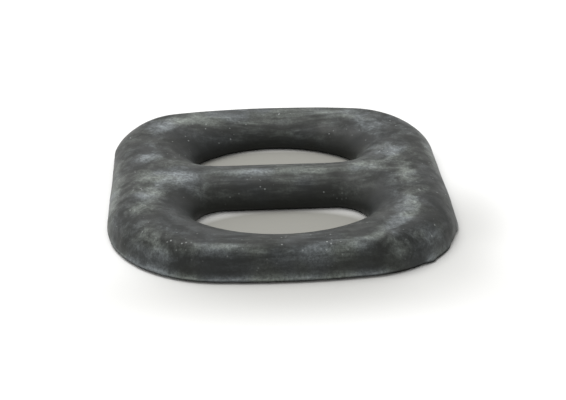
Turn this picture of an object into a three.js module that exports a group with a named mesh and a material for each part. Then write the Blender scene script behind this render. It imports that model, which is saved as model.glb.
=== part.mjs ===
// Exhaust hanger rubber: one moulded block of rubber, a rounded square ring with a bar across its
// middle that leaves two D-shaped slots, one for the hook on the car and one for the exhaust's.
// Millimetres, +Z up. The origin is under the middle of the part, on the surface that it lies on.
// X runs along the bar and the slots, and +Y is the far end.

import * as THREE from 'three';

// Plan, measured where every wall stands furthest out
const slotLength = 30.1;
const slotDepth = 14.7;
const slotEndRadius = 5.5;
const barWidth = 11.5;
const railWidth = 10.5;
const sideWidth = 14.95;

// The sides are a little hollow and the ends bow out a little
const sideHollowRadius = 280;
const endBowRadius = 112;

// Use has pulled the four corners slightly unlike
const farRightRadius = 15.2;
const farLeftRadius = 12.8;
const nearLeftRadius = 20.3;
const nearRightRadius = 18.4;

// Section: wide shoulders rise from the mould's parting line, low on the part, to a narrow crest.
// Below the line a small rounding leaves a broad flat to lie on. The slots are narrowest at their
// throat, a little higher.
const thickness = 5.8;
const partingHeight = 0.6;
const partingRounding = 0.5;
const throatHeight = 1.2;
const throatRounding = 1;
const crestWidth = 0.6;
const sideShoulder = 5.8;
const railShoulder = 3;

// Fineness of the mesh
const outerSteps = 112;
const slotSteps = 64;
const shoulderSteps = 6;

const halfWidth = slotLength / 2 + sideWidth;
const slotNear = barWidth / 2;
const slotFar = slotNear + slotDepth;
const halfDepth = slotFar + railWidth;
const barShoulder = (barWidth - crestWidth) / 2;
const slotRailShoulder = railWidth - crestWidth - railShoulder;
const slotEndShoulder = sideWidth - crestWidth - sideShoulder;

// The crossing of two circles that lies to the right of the way from the first centre to the second
function crossing(centreA, radiusA, centreB, radiusB) {
  const across = centreB.clone().sub(centreA);
  const distance = across.length();
  const along = (radiusA ** 2 - radiusB ** 2 + distance ** 2) / (2 * distance);
  const aside = Math.sqrt(radiusA ** 2 - along ** 2);
  across.normalize();
  return new THREE.Vector2(across.y, -across.x).multiplyScalar(aside)
    .addScaledVector(across, along).add(centreA);
}

function angleFrom(centre, point) {
  return Math.atan2(point.y - centre.y, point.x - centre.x);
}

// One quarter of the outer edge, from the middle of the right side round to the middle of the far
// end: a hollow arc, the corner's own arc, which touches both its neighbours, and a bowed arc
function outerQuarter(cornerRadius) {
  const sideCentre = new THREE.Vector2(halfWidth + sideHollowRadius, 0);
  const endCentre = new THREE.Vector2(0, halfDepth - endBowRadius);
  const corner = crossing(
    sideCentre, sideHollowRadius + cornerRadius,
    endCentre, endBowRadius - cornerRadius,
  );
  const sideAngle = angleFrom(sideCentre, corner);
  const endAngle = angleFrom(endCentre, corner);
  return [
    { centre: sideCentre, radius: sideHollowRadius, from: Math.PI, to: sideAngle },
    { centre: corner, radius: cornerRadius, from: sideAngle - Math.PI, to: endAngle },
    { centre: endCentre, radius: endBowRadius, from: endAngle, to: Math.PI / 2 },
  ];
}

// Mirror a run of arcs in X, in Y or in both. One mirror alone turns its direction round.
function mirrored(arcs, signX, signY) {
  const turned = arcs.map(({ centre, radius, from, to }) => {
    const direction = (angle) => Math.atan2(signY * Math.sin(angle), signX * Math.cos(angle));
    const start = direction(from);
    const sweep = (to - from) * signX * signY;
    const place = new THREE.Vector2(signX * centre.x, signY * centre.y);
    return { centre: place, radius, from: start, to: start + sweep };
  });
  if (signX * signY > 0) return turned;
  return turned.reverse().map((arc) => ({ ...arc, from: arc.to, to: arc.from }));
}

function pathOf(arcs) {
  const path = new THREE.CurvePath();
  for (const { centre, radius, from, to } of arcs) {
    path.add(new THREE.ArcCurve(centre.x, centre.y, radius, from, to, to < from));
  }
  return path;
}

function outerEdge() {
  return pathOf([
    ...outerQuarter(farRightRadius),
    ...mirrored(outerQuarter(farLeftRadius), -1, 1),
    ...mirrored(outerQuarter(nearLeftRadius), -1, -1),
    ...mirrored(outerQuarter(nearRightRadius), 1, -1),
  ]);
}

// A slot's edge: straight along the bar, arched along the rail, and one round end into both
function slotEdge(sign) {
  const endX = slotLength / 2 - slotEndRadius;
  const endY = slotNear + slotEndRadius;
  const rise = slotDepth - slotEndRadius;
  const archRadius = (endX ** 2 + rise ** 2 - slotEndRadius ** 2) / (2 * (rise - slotEndRadius));
  const arch = new THREE.Vector2(0, slotFar - archRadius);
  const right = new THREE.Vector2(endX, endY);
  const left = new THREE.Vector2(-endX, endY);
  const rightAngle = angleFrom(arch, right);
  const arcs = [
    { centre: right, radius: slotEndRadius, from: -Math.PI / 2, to: rightAngle },
    { centre: arch, radius: archRadius, from: rightAngle, to: Math.PI - rightAngle },
    { centre: left, radius: slotEndRadius, from: Math.PI - rightAngle, to: 1.5 * Math.PI },
  ];
  const path = pathOf(mirrored(arcs, 1, sign));
  const straightStart = new THREE.Vector2(-endX * sign, slotNear * sign);
  const straightEnd = new THREE.Vector2(endX * sign, slotNear * sign);
  path.add(new THREE.LineCurve(straightStart, straightEnd));
  return path;
}

// Even steps along a path that runs anticlockwise, each with its outward normal
function stepsAlong(path, steps) {
  return Array.from({ length: steps }, (_, index) => {
    const tangent = path.getTangent(index / steps);
    return {
      point: path.getPoint(index / steps),
      normal: new THREE.Vector2(tangent.y, -tangent.x),
    };
  });
}

// A shoulder's width turns smoothly from its value across the sides to its value across the ends
function outerShoulder(normal) {
  return sideShoulder * normal.x ** 2 + railShoulder * normal.y ** 2;
}

function slotShoulder(normal, sign) {
  const acrossY = normal.y * sign > 0 ? slotRailShoulder : barShoulder;
  return slotEndShoulder * normal.x ** 2 + acrossY * normal.y ** 2;
}

// The rings of one wall, from the flat below, out to where it stands furthest, to the crest above.
// Each point moves into the rubber along a quarter ellipse.
function wallRings(edge, intoRubber, furthest, rounding, shoulder) {
  const rings = [];
  for (let ring = -shoulderSteps; ring <= shoulderSteps; ring += 1) {
    const angle = (ring / shoulderSteps) * (Math.PI / 2);
    const rise = ring > 0 ? thickness - furthest : furthest;
    rings.push(edge.map(({ point, normal }) => {
      const width = ring > 0 ? shoulder(normal) : rounding;
      const place = normal.clone().multiplyScalar(width * (1 - Math.cos(angle)) * intoRubber).add(point);
      return new THREE.Vector3(place.x, place.y, furthest + rise * Math.sin(angle));
    }));
  }
  return rings;
}

// One closed mesh: three walls, the flat between their first rings and the crest between their last
function closedBody(walls) {
  const vertices = [];
  const triangles = [];
  const numbered = walls.map((rings) => rings.map((ring) => ring.map((place) => {
    vertices.push(place);
    return vertices.length - 1;
  })));
  for (const rings of numbered) {
    for (let level = 0; level + 1 < rings.length; level += 1) {
      const lower = rings[level];
      const upper = rings[level + 1];
      lower.forEach((corner, index) => {
        const next = (index + 1) % lower.length;
        triangles.push([corner, lower[next], upper[next]], [corner, upper[next], upper[index]]);
      });
    }
  }
  const flatBetween = (level) => {
    const loops = numbered.map((rings) => rings.at(level));
    const flat = loops.map((loop) => loop.map((id) => new THREE.Vector2(vertices[id].x, vertices[id].y)));
    const order = loops.flat();
    return THREE.ShapeUtils.triangulateShape(flat[0], flat.slice(1))
      .map((face) => face.map((corner) => order[corner]));
  };
  triangles.push(...flatBetween(-1));
  triangles.push(...flatBetween(0).map((face) => face.reverse()));
  const geometry = new THREE.BufferGeometry().setFromPoints(vertices);
  geometry.setIndex(triangles.flat());
  geometry.computeVertexNormals();
  return geometry;
}

function hangerBody() {
  const outer = stepsAlong(outerEdge(), outerSteps);
  const outerWall = wallRings(outer, -1, partingHeight, partingRounding, outerShoulder);
  const slotWall = (sign) => {
    // A slot's wall faces the other way, so its steps run clockwise
    const slot = stepsAlong(slotEdge(sign), slotSteps).reverse();
    return wallRings(slot, 1, throatHeight, throatRounding, (normal) => slotShoulder(normal, sign));
  };
  return closedBody([outerWall, slotWall(1), slotWall(-1)]);
}

const rubber = new THREE.MeshStandardMaterial({ color: 0x3b3d3e, roughness: 0.62, metalness: 0 });
const hangerRubber = new THREE.Mesh(hangerBody(), rubber);
hangerRubber.name = 'hanger_rubber';

const exhaustHanger = new THREE.Group();
exhaustHanger.add(hangerRubber);

export default exhaustHanger;
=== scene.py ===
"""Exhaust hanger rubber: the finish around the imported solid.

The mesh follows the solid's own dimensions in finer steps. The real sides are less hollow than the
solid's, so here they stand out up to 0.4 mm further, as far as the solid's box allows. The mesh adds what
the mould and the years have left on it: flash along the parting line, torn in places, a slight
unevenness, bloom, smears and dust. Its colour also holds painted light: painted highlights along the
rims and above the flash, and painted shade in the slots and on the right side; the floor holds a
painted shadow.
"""

import math

import bpy
import numpy as np
from mathutils import Matrix, Vector, noise
from mathutils.geometry import delaunay_2d_cdt


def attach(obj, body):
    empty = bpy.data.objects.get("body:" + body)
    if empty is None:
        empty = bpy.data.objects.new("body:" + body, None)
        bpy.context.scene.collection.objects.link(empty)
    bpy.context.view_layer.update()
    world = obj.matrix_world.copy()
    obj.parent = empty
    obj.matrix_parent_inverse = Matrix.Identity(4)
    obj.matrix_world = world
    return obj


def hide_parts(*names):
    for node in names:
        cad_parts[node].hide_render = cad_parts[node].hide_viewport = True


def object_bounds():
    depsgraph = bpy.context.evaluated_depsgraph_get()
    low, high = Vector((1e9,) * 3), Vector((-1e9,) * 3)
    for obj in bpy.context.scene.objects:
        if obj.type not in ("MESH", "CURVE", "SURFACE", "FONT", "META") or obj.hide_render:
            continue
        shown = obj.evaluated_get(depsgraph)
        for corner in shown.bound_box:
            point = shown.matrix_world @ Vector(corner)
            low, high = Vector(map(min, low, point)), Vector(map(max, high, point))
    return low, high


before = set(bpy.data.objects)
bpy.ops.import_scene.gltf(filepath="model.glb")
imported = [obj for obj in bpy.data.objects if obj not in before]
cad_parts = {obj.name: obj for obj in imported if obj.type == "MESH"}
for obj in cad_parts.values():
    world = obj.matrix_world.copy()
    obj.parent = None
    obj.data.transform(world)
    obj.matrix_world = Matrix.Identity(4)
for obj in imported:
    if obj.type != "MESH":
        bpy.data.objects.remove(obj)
cad_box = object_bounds()

MM = 0.001

# The solid's driving dimensions, in millimetres. X runs along the bar and +Y is the far end.
SLOT_LENGTH = 30.1
SLOT_DEPTH = 14.7
SLOT_END_RADIUS = 5.5
BAR_WIDTH = 11.5
RAIL_WIDTH = 10.5
SIDE_WIDTH = 14.95
SIDE_HOLLOW_RADIUS = 280
END_BOW_RADIUS = 112
FAR_RIGHT_RADIUS = 15.2
FAR_LEFT_RADIUS = 12.8
NEAR_LEFT_RADIUS = 20.3
NEAR_RIGHT_RADIUS = 18.4
THICKNESS = 5.8
PARTING_HEIGHT = 0.6
PARTING_ROUNDING = 0.5
THROAT_HEIGHT = 1.2
THROAT_ROUNDING = 1
CREST_WIDTH = 0.6
SIDE_SHOULDER = 5.8
RAIL_SHOULDER = 3

HALF_WIDTH = SLOT_LENGTH / 2 + SIDE_WIDTH
SLOT_NEAR = BAR_WIDTH / 2
SLOT_FAR = SLOT_NEAR + SLOT_DEPTH
HALF_DEPTH = SLOT_FAR + RAIL_WIDTH
BAR_SHOULDER = (BAR_WIDTH - CREST_WIDTH) / 2
SLOT_RAIL_SHOULDER = RAIL_WIDTH - CREST_WIDTH - RAIL_SHOULDER
SLOT_END_SHOULDER = SIDE_WIDTH - CREST_WIDTH - SIDE_SHOULDER

# Fineness of the mesh
ARC_STEPS = 160
OUTER_STEPS = 720
SLOT_STEPS = 360
LOWER_RINGS = 5
UPPER_RINGS = 30
CUT_TOLERANCE = 1e-7
SHARP_ANGLE = 50

# The outline at the parting line, by polar angle in degrees, in millimetres: how far the wall stands
# back from the moulded line (or out of it, where negative), how far flash stands out of the wall, and
# how thick the flash is
FLASH = [
    (0, -0.36, 0, 0.16), (13, -0.36, 0, 0.16), (25, -0.15, 0, 0.16), (38, 0, 0, 0.16),
    (48, 0.15, 0, 0.16), (56, 0.15, 0.08, 0.16), (64, 0.05, 0.12, 0.16), (90, 0.1, 0.12, 0.16),
    (100, 0, 0.14, 0.16), (110, -0.2, 0.15, 0.16), (121, -0.2, 0.15, 0.16), (132, 0.08, 0, 0.16),
    (140, 0.05, 0, 0.16), (150, -0.3, 0, 0.16), (165, -0.36, 0, 0.16), (183, -0.4, 0, 0.16),
    (197, -0.1, 0, 0.16), (206, 0.2, 0.1, 0.16), (211, 0.42, 0.4, 0.2), (240, 0.5, 0.5, 0.24),
    (270, 0.5, 0.5, 0.24), (297, 0.44, 0.42, 0.2), (301, 0.16, 0.1, 0.12), (310, 0.12, 0.08, 0.12),
    (311, 0.2, 0.35, 0.4), (313.6, 0.2, 0.55, 0.55), (314.2, 0.2, 0.34, 0.55), (322, 0.2, 0.28, 0.5),
    (324, 0.24, 0.1, 0.16), (330, 0.2, 0.05, 0.16), (332, 0.2, 0.34, 0.2), (336, 0.2, 0.4, 0.2),
    (339.5, 0.1, 0.25, 0.2), (341, 0, 0, 0.16), (346, -0.25, 0, 0.16), (352, -0.36, 0, 0.16),
    (360, -0.36, 0, 0.16),
]

# The height over which the flash flares out of the wall, in millimetres, its thickness at the edge as a
# share of that at the root, and how much its width varies
FLASH_FLARE = 0.6
FLASH_THINNING = 0.8
FLASH_RAGGED = 0.15

# Unevenness of the surface, in millimetres
SWELL_SIZE = 7
SWELL_HEIGHT = 0.03
RIPPLE_SIZE = 1.6
RIPPLE_HEIGHT = 0.012


def arc(centre, radius, start, end):
    """Points along an arc, both ends included."""
    angle = np.linspace(start, end, ARC_STEPS)
    return np.c_[centre[0] + radius * np.cos(angle), centre[1] + radius * np.sin(angle)]


def angle_from(centre, point):
    return math.atan2(point[1] - centre[1], point[0] - centre[0])


def crossing(centre_a, radius_a, centre_b, radius_b):
    """Where two circles meet, on the right of the way from the first centre to the second."""
    across = np.subtract(centre_b, centre_a)
    distance = np.hypot(*across)
    along = (radius_a**2 - radius_b**2 + distance**2) / (2 * distance)
    aside = math.sqrt(radius_a**2 - along**2)
    unit = across / distance
    return centre_a + unit * along + np.array([unit[1], -unit[0]]) * aside


def outer_quarter(corner_radius):
    """From the middle of the right side, round one corner, to the middle of the far end."""
    side_centre = np.array([HALF_WIDTH + SIDE_HOLLOW_RADIUS, 0])
    end_centre = np.array([0, HALF_DEPTH - END_BOW_RADIUS])
    corner = crossing(
        side_centre, SIDE_HOLLOW_RADIUS + corner_radius, end_centre, END_BOW_RADIUS - corner_radius
    )
    side_angle = angle_from(side_centre, corner) % (2 * math.pi)
    end_angle = angle_from(end_centre, corner)
    return np.vstack([
        arc(side_centre, SIDE_HOLLOW_RADIUS, math.pi, side_angle)[:-1],
        arc(corner, corner_radius, side_angle - math.pi, end_angle)[:-1],
        arc(end_centre, END_BOW_RADIUS, end_angle, math.pi / 2),
    ])


def outer_edge():
    far_right = outer_quarter(FAR_RIGHT_RADIUS)
    far_left = outer_quarter(FAR_LEFT_RADIUS)[::-1] * [-1, 1]
    near_left = outer_quarter(NEAR_LEFT_RADIUS) * [-1, -1]
    near_right = outer_quarter(NEAR_RIGHT_RADIUS)[::-1] * [1, -1]
    return np.vstack([quarter[:-1] for quarter in (far_right, far_left, near_left, near_right)])


def slot_edge(sign):
    """A D: straight along the bar, arched along the rail, and one round end into both."""
    end_x = SLOT_LENGTH / 2 - SLOT_END_RADIUS
    end_y = SLOT_NEAR + SLOT_END_RADIUS
    rise = SLOT_DEPTH - SLOT_END_RADIUS
    arch_radius = (end_x**2 + rise**2 - SLOT_END_RADIUS**2) / (2 * (rise - SLOT_END_RADIUS))
    arch = (0, SLOT_FAR - arch_radius)
    turn = angle_from(arch, (end_x, end_y))
    edge = np.vstack([
        arc((end_x, end_y), SLOT_END_RADIUS, -math.pi / 2, turn)[:-1],
        arc(arch, arch_radius, turn, math.pi - turn)[:-1],
        arc((-end_x, end_y), SLOT_END_RADIUS, math.pi - turn, 1.5 * math.pi),
    ])
    return edge if sign > 0 else edge[::-1] * [1, -1]


def even_steps(loop, count):
    """The closed loop again, in equal steps."""
    closed = np.vstack([loop, loop[:1]])
    travelled = np.r_[0, np.cumsum(np.hypot(*np.diff(closed, axis=0).T))]
    at = np.linspace(0, travelled[-1], count, endpoint=False)
    return np.c_[np.interp(at, travelled, closed[:, 0]), np.interp(at, travelled, closed[:, 1])]


def outward(loop):
    """Unit normals that point out of an anticlockwise loop."""
    tangent = np.roll(loop, -1, axis=0) - np.roll(loop, 1, axis=0)
    tangent /= np.hypot(*tangent.T)[:, None]
    return np.c_[tangent[:, 1], -tangent[:, 0]]


def outer_shoulder(normal):
    return SIDE_SHOULDER * normal[:, 0] ** 2 + RAIL_SHOULDER * normal[:, 1] ** 2


def slot_shoulder(normal, sign):
    across_y = np.where(normal[:, 1] * sign > 0, SLOT_RAIL_SHOULDER, BAR_SHOULDER)
    return SLOT_END_SHOULDER * normal[:, 0] ** 2 + across_y * normal[:, 1] ** 2


def flash_round(loop):
    """The wall's setback, the lip's width and its thickness at each step round the outer edge."""
    polar = np.degrees(np.arctan2(loop[:, 1], loop[:, 0])) % 360
    angles, *columns = zip(*FLASH)
    setback, lip, thickness = (np.interp(polar, angles, column) for column in columns)
    ragged = np.array([noise.noise(Vector((x, y, 0))) for x, y in loop])
    return setback, lip * (1 + FLASH_RAGGED * ragged), thickness


def wall_rings(loop, into_rubber, furthest, rounding, shoulder, flash=None):
    """Rings from the flat below, out to where the wall stands furthest, and up to the crest."""
    normal = outward(loop)
    width = shoulder(normal)
    level = np.zeros(len(loop))
    setback, lip, thickness = flash or (level, level, level)
    rings = []
    for step in range(LOWER_RINGS, 0, -1):
        angle = step / LOWER_RINGS * math.pi / 2
        height = (furthest - thickness) * (1 - math.sin(angle))
        rings.append((setback + rounding * (1 - math.cos(angle)), height))
    if flash:
        rings.append((setback, furthest - thickness))
        rings.append((setback - lip, furthest - thickness * FLASH_THINNING))
    for step in range(UPPER_RINGS + 1):
        angle = step / UPPER_RINGS * math.pi / 2
        rise = math.sin(angle) * (THICKNESS - furthest)
        inward = width + (setback - width) * math.cos(angle)
        rings.append((inward - lip * math.exp(-rise / FLASH_FLARE), furthest + rise + level))
    return [np.c_[loop + normal * (inward * into_rubber)[:, None], height] for inward, height in rings]


def inside(loop, points):
    """Which points lie inside a closed loop."""
    x, y = points.T
    result = np.zeros(len(points), bool)
    for (ax, ay), (bx, by) in zip(loop, np.roll(loop, -1, axis=0)):
        if ay == by:
            continue
        crosses = (ay > y) != (by > y)
        result ^= crosses & (x < (bx - ax) * (y - ay) / (by - ay) + ax)
    return result


def hanger_mesh():
    """The three walls of rings, closed by a flat land at the underside and one at the crest."""
    outer = even_steps(outer_edge(), OUTER_STEPS)
    walls = [wall_rings(outer, -1, PARTING_HEIGHT, PARTING_ROUNDING, outer_shoulder, flash_round(outer))]
    for sign in (1, -1):
        slot = even_steps(slot_edge(sign), SLOT_STEPS)
        rings = wall_rings(
            slot, 1, THROAT_HEIGHT, THROAT_ROUNDING, lambda normal, sign=sign: slot_shoulder(normal, sign)
        )
        walls.append([ring[::-1] for ring in rings])
    vertices = []
    faces = []
    numbered = []
    for rings in walls:
        ids = []
        for ring in rings:
            ids.append(np.arange(len(vertices), len(vertices) + len(ring)))
            vertices.extend(ring)
        for lower, upper in zip(ids, ids[1:]):
            faces.extend(zip(lower, np.roll(lower, -1), np.roll(upper, -1), upper))
        numbered.append(ids)
    for level in (0, -1):
        loops = [ids[level] for ids in numbered]
        order = np.concatenate(loops)
        flat = [np.array([vertices[i][:2] for i in loop]) for loop in loops]
        edges = []
        start = 0
        for loop in loops:
            edges += [(start + i, start + (i + 1) % len(loop)) for i in range(len(loop))]
            start += len(loop)
        points = [Vector(point) for point in np.vstack(flat)]
        cut = delaunay_2d_cdt(points, edges, [], 0, CUT_TOLERANCE)
        places = np.array([point[:] for point in cut[0]])
        source = [order[origin[0]] for origin in cut[3]]
        centres = np.array([places[list(face)].mean(axis=0) for face in cut[2]])
        kept = inside(flat[0], centres) & ~inside(flat[1], centres) & ~inside(flat[2], centres)
        for face, keep in zip(cut[2], kept):
            if keep:
                corners = [source[i] for i in face]
                faces.append(corners if level else corners[::-1])
    mesh = bpy.data.meshes.new("hanger_rubber_finish")
    mesh.from_pydata((np.array(vertices) * MM).tolist(), [], [[int(i) for i in face] for face in faces])
    mesh.validate()
    mesh.update()
    return mesh


def roughen(mesh):
    """Slow swells and a faint ripple along the normals, kept inside the solid's box."""
    count = len(mesh.vertices)
    places = np.empty(count * 3, np.float32)
    normals = np.empty(count * 3, np.float32)
    mesh.vertices.foreach_get("co", places)
    mesh.vertex_normals.foreach_get("vector", normals)
    places = places.reshape(count, 3) / MM
    lift = np.array([
        SWELL_HEIGHT * noise.noise(Vector(place) / SWELL_SIZE)
        + RIPPLE_HEIGHT * noise.noise(Vector(place) / RIPPLE_SIZE)
        for place in places
    ])
    lift *= np.minimum(places[:, 2] / PARTING_HEIGHT, 1)
    moved = (places + normals.reshape(count, 3) * lift[:, None]) * MM
    moved = np.clip(moved, np.array(cad_box[0]), np.array(cad_box[1]))
    mesh.vertices.foreach_set("co", moved.astype(np.float32).ravel())
    mesh.update()


mesh = hanger_mesh()
roughen(mesh)
mesh.shade_smooth()
mesh.set_sharp_from_angle(angle=math.radians(SHARP_ANGLE))
hanger = bpy.data.objects.new("hanger_rubber_finish", mesh)
bpy.context.scene.collection.objects.link(hanger)


class Nodes:
    """A material's node tree, with short calls for the nodes used here."""

    def __init__(self, name):
        self.material = bpy.data.materials.new(name)
        self.material.use_nodes = True
        self.tree = self.material.node_tree
        self.shader = self.tree.nodes["Principled BSDF"]
        self.place = self.tree.nodes.new("ShaderNodeTexCoord").outputs["Object"]

    def plug(self, socket, value):
        if isinstance(value, bpy.types.NodeSocket):
            self.tree.links.new(value, socket)
        else:
            socket.default_value = value

    def node(self, kind, **settings):
        node = self.tree.nodes.new(kind)
        for name, value in settings.items():
            setattr(node, name, value)
        return node

    def math(self, operation, a, b=0.0):
        node = self.node("ShaderNodeMath", operation=operation)
        self.plug(node.inputs[0], a)
        self.plug(node.inputs[1], b)
        return node.outputs[0]

    def ramp(self, value, low, high, to_low=0.0, to_high=1.0):
        node = self.node("ShaderNodeMapRange", interpolation_type="SMOOTHSTEP")
        for socket, given in zip(node.inputs, (value, low, high, to_low, to_high)):
            self.plug(socket, given)
        return node.outputs[0]

    def mix(self, factor, a, b):
        node = self.node("ShaderNodeMix", data_type="RGBA")
        self.plug(node.inputs["Factor"], factor)
        self.plug(node.inputs[6], a)
        self.plug(node.inputs[7], b)
        return node.outputs[2]

    def noise(self, size, detail, seed, roughness=0.5, distortion=0.0, stretch=(1, 1, 1)):
        """Noise from 0 to 1, whose features are about size millimetres across."""
        moved = self.node("ShaderNodeMapping")
        self.plug(moved.inputs["Vector"], self.place)
        moved.inputs["Location"].default_value = (seed, seed, seed)
        moved.inputs["Scale"].default_value = [1 / (size * longer * MM) for longer in stretch]
        node = self.node("ShaderNodeTexNoise")
        self.plug(node.inputs["Vector"], moved.outputs[0])
        node.inputs["Scale"].default_value = 1
        node.inputs["Detail"].default_value = detail
        node.inputs["Roughness"].default_value = roughness
        node.inputs["Distortion"].default_value = distortion
        return node.outputs[0]

    def patch(self, x, y, length, width, turn, strength):
        """A soft-edged oval in plan, in millimetres and degrees, that fades from its middle."""
        node = self.node("ShaderNodeMapping", vector_type="TEXTURE")
        self.plug(node.inputs["Vector"], self.place)
        node.inputs["Location"].default_value = (x * MM, y * MM, 0)
        node.inputs["Rotation"].default_value = (0, 0, math.radians(turn))
        node.inputs["Scale"].default_value = (length / 2 * MM, width / 2 * MM, 1)
        distance = self.node("ShaderNodeVectorMath", operation="LENGTH")
        self.plug(distance.inputs[0], node.outputs[0])
        return self.ramp(distance.outputs["Value"], 1.0, 0.1, 0.0, strength)

    def add(self, values):
        total = values[0]
        for value in values[1:]:
            total = self.math("ADD", total, value)
        return total


# Where the bloom is heavy, and painted rim highlights on the outer walls: x, y, length and width in
# millimetres, turn in degrees, strength
BLOOM_AND_RIM_HIGHLIGHTS = [
    (0, 0, 84, 84, 0, 0.15),
    (-19.5, -2.4, 18, 9, -10, 1.0),
    (-23.5, 6.5, 9, 7, 20, 0.7),
    (-22.8, -8.5, 9, 10, 0, 0.8),
    (-24, -14, 8, 7, 0, 0.6),
    (-23, -24, 15, 9, -45, 0.5),
    (-20.8, -26.3, 6, 3.4, -35, 0.9),
    (-11, -28, 17, 2.6, -7, 0.7),
    (6, -28.6, 13, 4, 8, 0.4),
    (-1, -1, 38, 4, -1, 0.8),
    (16, 0.3, 12, 7, 15, 0.7),
    (21, 6.5, 9, 10, 0, 0.8),
    (22.3, -3, 6, 14, 0, 0.7),
    (21.3, -15.5, 6.5, 17, -14, 0.8),
    (18.2, -22, 17, 5.4, 48, 0.8),
    (12.5, -27.4, 11, 3.4, 30, 0.6),
    (19, -30, 18, 7, 30, 0.8),
    (25, -23.5, 10, 7, 50, 0.8),
    (-21, 21.5, 14, 9, 35, 0.8),
    (-13, 24.5, 22, 9, 8, 0.7),
    (2, 26, 32, 8, 0, 0.55),
    (15, 24, 16, 8, -16, 0.7),
    (18.5, 18, 9, 10, -40, 0.7),
    (0, -31.5, 60, 10, 0, 0.5),
    # The last two rows are painted rim highlights, where light grazes the left and right outer walls
    (-30, -8, 6, 44, -2, 0.9),
    (29.5, 8, 5, 24, 6, 0.7),
]

# Where pale specks lie in clusters, in the same way
SPECKS = [
    (7, -28.7, 10, 5, 0, 1),
    (20.6, -25.5, 6, 5, 0, 1),
    (-12.5, 21.3, 11, 5, 0, 0.9),
    (-24, -14.5, 8, 6, 0, 0.9),
    (26.6, -7.5, 5, 14, 0, 0.7),
    (-8.5, -29, 7, 3, 0, 0.7),
    (-25, -21, 4, 4, 0, 0.9),
]

# Where the bloom is taken away, in the same way, so that the dark rubber paints shade: the slots' walls
# and ends, the near rail beside its slot and the outer right side
PAINTED_SHADE_PATCHES = [
    (-1, 14, 50, 16, 0, 1.6),
    (-1, -10.5, 46, 14, 0, 1.6),
    (-17, 12, 9, 15, 0, 1.2),
    (15, 14.5, 10, 10, 0, 1.1),
    (-16.5, -11, 7, 16, 5, 1.2),
    (16, -11, 9, 15, -5, 1.1),
    (-13.5, -20.5, 14, 6, -25, 1.0),
    (1, -22.8, 36, 5, 0, 0.8),
    (27, -10, 6, 36, -2, 0.9),
    (23.8, -21, 6, 11, -40, 0.8),
]


# Colours of the bare rubber and of the bloom, at each end of the slow change of tint; the bloom's colour
# also paints the highlights, and the bare rubber's colour the shade
DARK = ((0.0115, 0.0125, 0.0105, 1), (0.012, 0.0135, 0.0128, 1))
CHALK_AND_PAINTED_HIGHLIGHT = ((0.262, 0.29, 0.262, 1), (0.257, 0.283, 0.294, 1))
SPECK_COLOUR = (0.42, 0.44, 0.43, 1)
SHEEN_TINT = (0.93, 1, 0.96, 1)

# Sizes of the finish's features, in millimetres
CLOUD_SIZE = 2.4
STREAK_SIZE = 1.5
STREAK_STRETCH = 5
GRAIN_SIZE = 0.5
DUST_SIZE = 5
SPECK_SPACING = 0.8
TINT_SIZE = 9
GLOSS_SIZE = 2.4
BUMP_SIZE = 0.7
BUMP_HEIGHT = 0.05

# Heights in millimetres between which the painted light on the lower wall, the painted highlight above the
# flash and the shine set in
LOWER_WALL_LIGHT_HEIGHTS = (2.2, 1.0)
FLASH_EDGE_HIGHLIGHT_HEIGHTS = (0.95, 0.65)
SHINE_HEIGHTS = (0.5, 0.62)
# Distances from the middle between which the bloom turns from clouds into streaks along the bar
STREAK_REACH = (18, 9)

# How much each of them adds to the pale colour of bloom and painted light
LOWER_WALL_PAINTED_LIGHT = 0.2
FLASH_EDGE_PAINTED_HIGHLIGHT = 0.45
STREAK_SHARE = 0.8
MOTTLE_WEIGHT = 1.1
PATCH_WEIGHT = 0.38

# The ranges that are spread out into a share of full strength
UPWARD_RANGE = (-0.05, 0.8)
GRAIN_RANGE = (0.34, 0.66)
BLOOM_RANGE = (0.48, 1.3)
DUST_RANGE = (0.5, 0.7)
SPECK_RANGE = (0.26, 0.1)
TINT_RANGE = (0.42, 0.6)
GLOSS_RANGE = (0.3, 0.7)

GRAIN_STRENGTH = (0.55, 1.25)
SPECK_CHANCE = 0.6
SPECK_STRENGTH = 0.5
ROUGHNESS = (0.44, 0.6)
SHINE = (0.05, 0.27)
SHEEN_WEIGHT = 0.05
SHEEN_ROUGHNESS = 0.35
BUMP_STRENGTH = 0.5


def between(heights):
    return [height * MM for height in heights]


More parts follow.
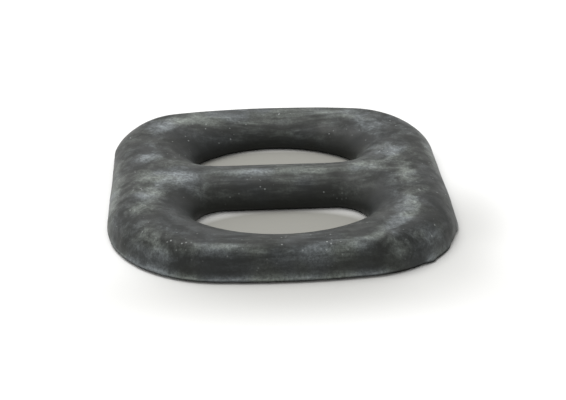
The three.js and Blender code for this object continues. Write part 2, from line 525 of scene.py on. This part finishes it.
def bloom_and_painted_light_amount(nodes, place, upward):
    """How much of the rubber takes the pale colour, from 0 to 1: bloom, painted highlights and, where it
    is taken away, painted shade.
    """
    height = place.outputs[2]
    # Painted light: a lighter lower wall and a painted highlight along the flash's upper edge
    lower_wall_light = nodes.ramp(height, *between(LOWER_WALL_LIGHT_HEIGHTS), 0.0, LOWER_WALL_PAINTED_LIGHT)
    flash_edge_highlight = nodes.ramp(height, *between(FLASH_EDGE_HIGHLIGHT_HEIGHTS), 0.0, FLASH_EDGE_PAINTED_HIGHLIGHT)
    aside = nodes.math("ABSOLUTE", place.outputs[0])
    along = nodes.ramp(aside, *between(STREAK_REACH), 0.0, STREAK_SHARE)
    cloud = nodes.noise(CLOUD_SIZE, detail=6, seed=3.1, roughness=0.7, distortion=0.35)
    streak = nodes.noise(
        STREAK_SIZE, detail=5, seed=6.3, roughness=0.62, distortion=0.2, stretch=(STREAK_STRETCH, 1, 1)
    )
    mottle = nodes.math("ADD", cloud, nodes.math("MULTIPLY", along, nodes.math("SUBTRACT", streak, cloud)))
    fine = nodes.noise(GRAIN_SIZE, detail=3, seed=7.7, roughness=0.8)
    grain = nodes.ramp(fine, *GRAIN_RANGE, *GRAIN_STRENGTH)
    patches = nodes.math("MINIMUM", nodes.add([nodes.patch(*row) for row in BLOOM_AND_RIM_HIGHLIGHTS]), 1)
    # Painted shade: no bloom where shade falls in the slots, beside the near slot and on the right side
    painted_shade = nodes.math("MINIMUM", nodes.add([nodes.patch(*row) for row in PAINTED_SHADE_PATCHES]), 1)
    mottled = nodes.math("MULTIPLY", mottle, MOTTLE_WEIGHT)
    spread = nodes.math("ADD", mottled, nodes.math("MULTIPLY", patches, PATCH_WEIGHT))
    bloom_and_painted_light = nodes.ramp(nodes.add([spread, lower_wall_light, flash_edge_highlight]), *BLOOM_RANGE)
    bloom_and_painted_light = nodes.math("MULTIPLY", bloom_and_painted_light, nodes.math("MULTIPLY", grain, upward))
    return nodes.math("MULTIPLY", bloom_and_painted_light, nodes.math("SUBTRACT", 1.0, painted_shade))


def speck_amount(nodes, upward):
    """Small round specks, in some of the cells of an even scatter, where dust lies."""
    cell = nodes.node("ShaderNodeTexVoronoi")
    nodes.plug(cell.inputs["Vector"], nodes.place)
    cell.inputs["Scale"].default_value = 1 / (SPECK_SPACING * MM)
    chance = nodes.node("ShaderNodeSeparateXYZ")
    nodes.plug(chance.inputs[0], cell.outputs["Color"])
    few = nodes.math("GREATER_THAN", chance.outputs[0], SPECK_CHANCE)
    dot = nodes.ramp(cell.outputs["Distance"], *SPECK_RANGE)
    anywhere = nodes.ramp(nodes.noise(DUST_SIZE, detail=2, seed=4.6), *DUST_RANGE)
    dusty = nodes.add([nodes.patch(*row) for row in SPECKS] + [anywhere])
    return nodes.math("MULTIPLY", nodes.math("MULTIPLY", few, dot), nodes.math("MULTIPLY", dusty, upward))


def rubber_material():
    nodes = Nodes("aged_rubber")
    facing = nodes.node("ShaderNodeSeparateXYZ")
    nodes.plug(facing.inputs[0], nodes.node("ShaderNodeNewGeometry").outputs["Normal"])
    upward = nodes.ramp(facing.outputs[2], *UPWARD_RANGE)
    place = nodes.node("ShaderNodeSeparateXYZ")
    nodes.plug(place.inputs[0], nodes.place)
    tint = nodes.ramp(nodes.noise(TINT_SIZE, detail=2, seed=1.3), *TINT_RANGE)
    bloom_and_painted_light = bloom_and_painted_light_amount(nodes, place, upward)
    # The pale colour paints the bloom and the highlights; the dark rubber left bare paints the shade
    painted_light_and_bloom = nodes.mix(bloom_and_painted_light, nodes.mix(tint, *DARK), nodes.mix(tint, *CHALK_AND_PAINTED_HIGHLIGHT))
    specks = nodes.math("MULTIPLY", speck_amount(nodes, upward), SPECK_STRENGTH)
    shader = nodes.shader.inputs
    nodes.plug(shader["Base Color"], nodes.mix(specks, painted_light_and_bloom, SPECK_COLOUR))
    nodes.plug(shader["Specular IOR Level"], nodes.ramp(place.outputs[2], *between(SHINE_HEIGHTS), *SHINE))
    shader["Sheen Weight"].default_value = SHEEN_WEIGHT
    shader["Sheen Roughness"].default_value = SHEEN_ROUGHNESS
    shader["Sheen Tint"].default_value = SHEEN_TINT
    gloss = nodes.noise(GLOSS_SIZE, detail=3, seed=5.2)
    nodes.plug(shader["Roughness"], nodes.ramp(gloss, *GLOSS_RANGE, *ROUGHNESS))
    bump = nodes.node("ShaderNodeBump")
    bump.inputs["Strength"].default_value = BUMP_STRENGTH
    bump.inputs["Distance"].default_value = BUMP_HEIGHT * MM
    nodes.plug(bump.inputs["Height"], nodes.noise(BUMP_SIZE, detail=4, seed=2.2, roughness=0.7))
    nodes.plug(shader["Normal"], bump.outputs[0])
    return nodes.material


hanger.data.materials.append(rubber_material())
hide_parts("hanger_rubber")
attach(hanger, "root")


# Painted shadow on the cloth, in the slots, in front and to the right: x, y, length and width in mm, turn
# in degrees, strength
FLOOR_PAINTED_SHADOW = [
    (0, 12, 48, 24, 0, 2.5),
    (0, -13, 48, 22, 0, 2.5),
    (2, -32, 96, 34, 0, 0.5),
    (31, -14, 26, 46, -15, 0.35),
]

FLOOR_SIZE = 3
CLOTH = (0.86, 0.86, 0.85, 1)
CLOTH_SHADOW = (0.3, 0.296, 0.27, 1)
CLOTH_ROUGHNESS = 0.9
CLOTH_SHINE = 0.1


def pale_floor():
    bpy.ops.mesh.primitive_plane_add(size=FLOOR_SIZE)
    floor = bpy.context.object
    floor.name = "floor"
    nodes = Nodes("pale_cloth")
    # Painted shadow on the cloth: darker in the slots, in front and to the right
    painted_shadow = nodes.add([nodes.patch(*row) for row in FLOOR_PAINTED_SHADOW])
    colour = nodes.mix(nodes.math("MINIMUM", painted_shadow, 1), CLOTH, CLOTH_SHADOW)
    nodes.plug(nodes.shader.inputs["Base Color"], colour)
    nodes.shader.inputs["Roughness"].default_value = CLOTH_ROUGHNESS
    nodes.shader.inputs["Specular IOR Level"].default_value = CLOTH_SHINE
    floor.data.materials.append(nodes.material)


# The studio is a white dome, brightest low at the back and the left
DOME_BRIGHTEST = (-0.55, 0.75, 0.1)
DOME_HIGH = 1.18
DOME_LOW = 0.58


def studio_dome():
    world = bpy.data.worlds.new("studio")
    bpy.context.scene.world = world
    world.use_nodes = True
    tree = world.node_tree
    direction = tree.nodes.new("ShaderNodeTexCoord").outputs["Generated"]
    towards = tree.nodes.new("ShaderNodeVectorMath")
    towards.operation = "DOT_PRODUCT"
    tree.links.new(direction, towards.inputs[0])
    towards.inputs[1].default_value = Vector(DOME_BRIGHTEST).normalized()
    level = tree.nodes.new("ShaderNodeMapRange")
    tree.links.new(towards.outputs["Value"], level.inputs[0])
    level.inputs[1].default_value = -1
    level.inputs[3].default_value = DOME_LOW
    level.inputs[4].default_value = DOME_HIGH
    background = tree.nodes["Background"]
    background.inputs[0].default_value = (1, 1, 1, 1)
    tree.links.new(level.outputs[0], background.inputs[1])


# One soft lamp above, a little to the left and behind: metres and watts
KEY_PLACE = (-0.12, 0.12, 0.5)
KEY_SIZE = 0.35
KEY_POWER = 1.5


def key_light():
    light = bpy.data.lights.new("key", "AREA")
    light.size = KEY_SIZE
    light.energy = KEY_POWER
    lamp = bpy.data.objects.new("key", light)
    bpy.context.scene.collection.objects.link(lamp)
    lamp.location = KEY_PLACE
    lamp.rotation_euler = (-Vector(KEY_PLACE)).to_track_quat("-Z", "Y").to_euler()


# The camera in millimetres and degrees, fitted to the photograph apart from its focal length, which was
# chosen, and its target, which was moved a little afterwards
TARGET = (0.742, -1.22, 0)
ELEVATION = 26.71
AZIMUTH = -3.04
ROLL = -0.56
DISTANCE = 226.07
FOCAL_PIXELS = 1250
PHOTO_WIDTH = 566
SENSOR_WIDTH = 36
NEAREST_VIEW = 1


def camera():
    azimuth, elevation, roll = (math.radians(angle) for angle in (AZIMUTH, ELEVATION, ROLL))
    level = math.cos(elevation)
    back = Vector((math.sin(azimuth) * level, -math.cos(azimuth) * level, math.sin(elevation)))
    right = Vector((0, 0, 1)).cross(back).normalized()
    up = back.cross(right)
    tilted_right = right * math.cos(roll) + up * math.sin(roll)
    tilted_up = up * math.cos(roll) - right * math.sin(roll)
    turn = Matrix((tilted_right, tilted_up, back)).transposed().to_4x4()
    data = bpy.data.cameras.new("camera")
    data.sensor_width = SENSOR_WIDTH
    data.lens = FOCAL_PIXELS / PHOTO_WIDTH * SENSOR_WIDTH
    data.clip_start = NEAREST_VIEW * MM
    eye = bpy.data.objects.new("camera", data)
    bpy.context.scene.collection.objects.link(eye)
    eye.matrix_world = Matrix.Translation((Vector(TARGET) + back * DISTANCE) * MM) @ turn
    bpy.context.scene.camera = eye


pale_floor()
studio_dome()
key_light()
camera()

bpy.context.scene.view_settings.view_transform = "Standard"
bpy.context.view_layer.update()
